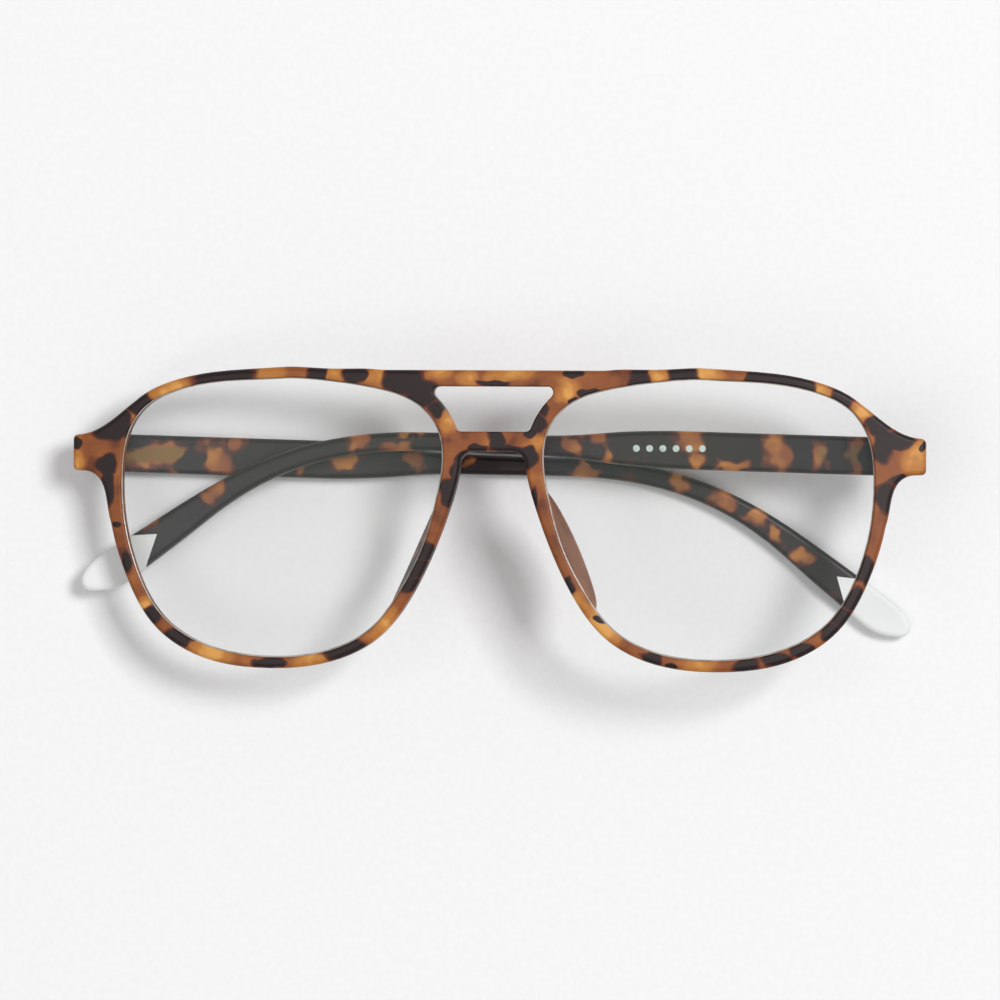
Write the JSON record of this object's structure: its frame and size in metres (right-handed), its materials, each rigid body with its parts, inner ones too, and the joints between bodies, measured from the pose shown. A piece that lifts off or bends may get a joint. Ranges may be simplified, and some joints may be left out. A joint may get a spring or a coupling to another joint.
{
  "type": "blue light glasses",
  "caption": "Folded full-rim eyeglasses with a double bridge, clear lenses and temples that open on steel hinges.",
  "frame": {"origin": "middle of the folded pair on the surface that it lies on", "axes": "+X towards the wearer's left end piece, +Y towards the brow bar, +Z out of the front of the lenses (up, as it lies folded)"},
  "size_m": [0.142, 0.0502, 0.0249],
  "materials": {
    "tortoise_plastic": "matte moulded tortoiseshell, gold and brown patches",
    "white_plastic": "satin pale white",
    "clear_lens": "polished, coated, nearly colourless",
    "hinge_steel": "tumbled steel",
    "screw_steel": "bright turned steel"
  },
  "bodies": {
    "front": {"front_frame": "tortoise_plastic", "lens_left": "clear_lens", "lens_right": "clear_lens", "front_hinge_left": "hinge_steel", "front_hinge_right": "hinge_steel", "hinge_screw_left": "screw_steel", "hinge_screw_right": "screw_steel"},
    "temple_left_body": {"temple_left": "tortoise_plastic", "temple_tip_left": "white_plastic", "temple_hinge_left": "hinge_steel"},
    "temple_right_body": {"temple_right": "tortoise_plastic", "temple_tip_right": "white_plastic", "temple_hinge_right": "hinge_steel"}
  },
  "joints": [
    {"name": "temple_left_fold", "type": "hinge", "parent": "front", "child": "temple_left_body", "pos_m": [0.06647, 0.01325, 0.0176], "axis": [-0.0261, -0.9997, -0.0025], "range_deg": [0, 90.95]},
    {"name": "temple_right_fold", "type": "hinge", "parent": "front", "child": "temple_right_body", "pos_m": [-0.06572, 0.01325, 0.00488], "axis": [0.0261, 0.9997, 0.0025], "range_deg": [0, 84.5]}
  ]
}
